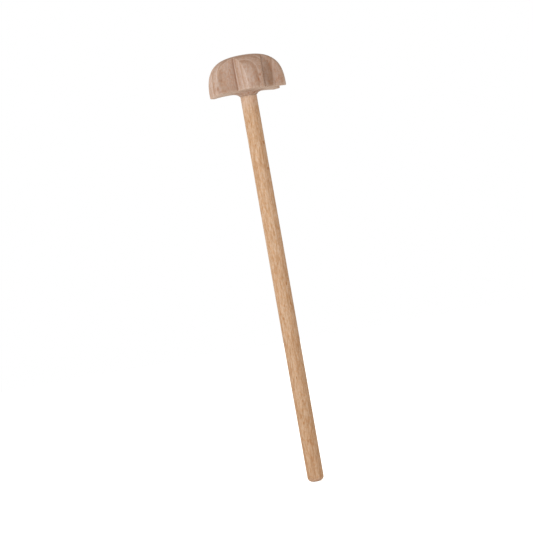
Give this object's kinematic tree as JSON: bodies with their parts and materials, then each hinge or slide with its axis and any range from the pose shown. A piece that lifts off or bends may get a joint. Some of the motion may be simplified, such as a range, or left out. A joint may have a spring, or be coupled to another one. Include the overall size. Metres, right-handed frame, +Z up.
{
  "type": "wooden stirring whisk",
  "caption": "Turned beech stirring whisk: a domed head with V-notched star arms glued on the end of a long round dowel handle, twirled between the palms to mix liquids.",
  "frame": {"origin": "Centre of the small flat in the middle of the handle's rounded lower end", "axes": "+Z runs up the handle's axis to the top of the domed head; the widest arm of the star points 13 degrees from -Y towards +X"},
  "size_m": [0.055, 0.056, 0.306],
  "materials": {
    "handle_beech": "plain-sanded straight-grained beech dowel, no lacquer, short ray flecks along the grain",
    "head_beech": "turned and cut beech, left bare, slightly pinker and greyer than the handle, edges rubbed pale"
  },
  "bodies": {
    "root": {"handle": "handle_beech", "star_head": "head_beech"}
  },
  "joints": []
}
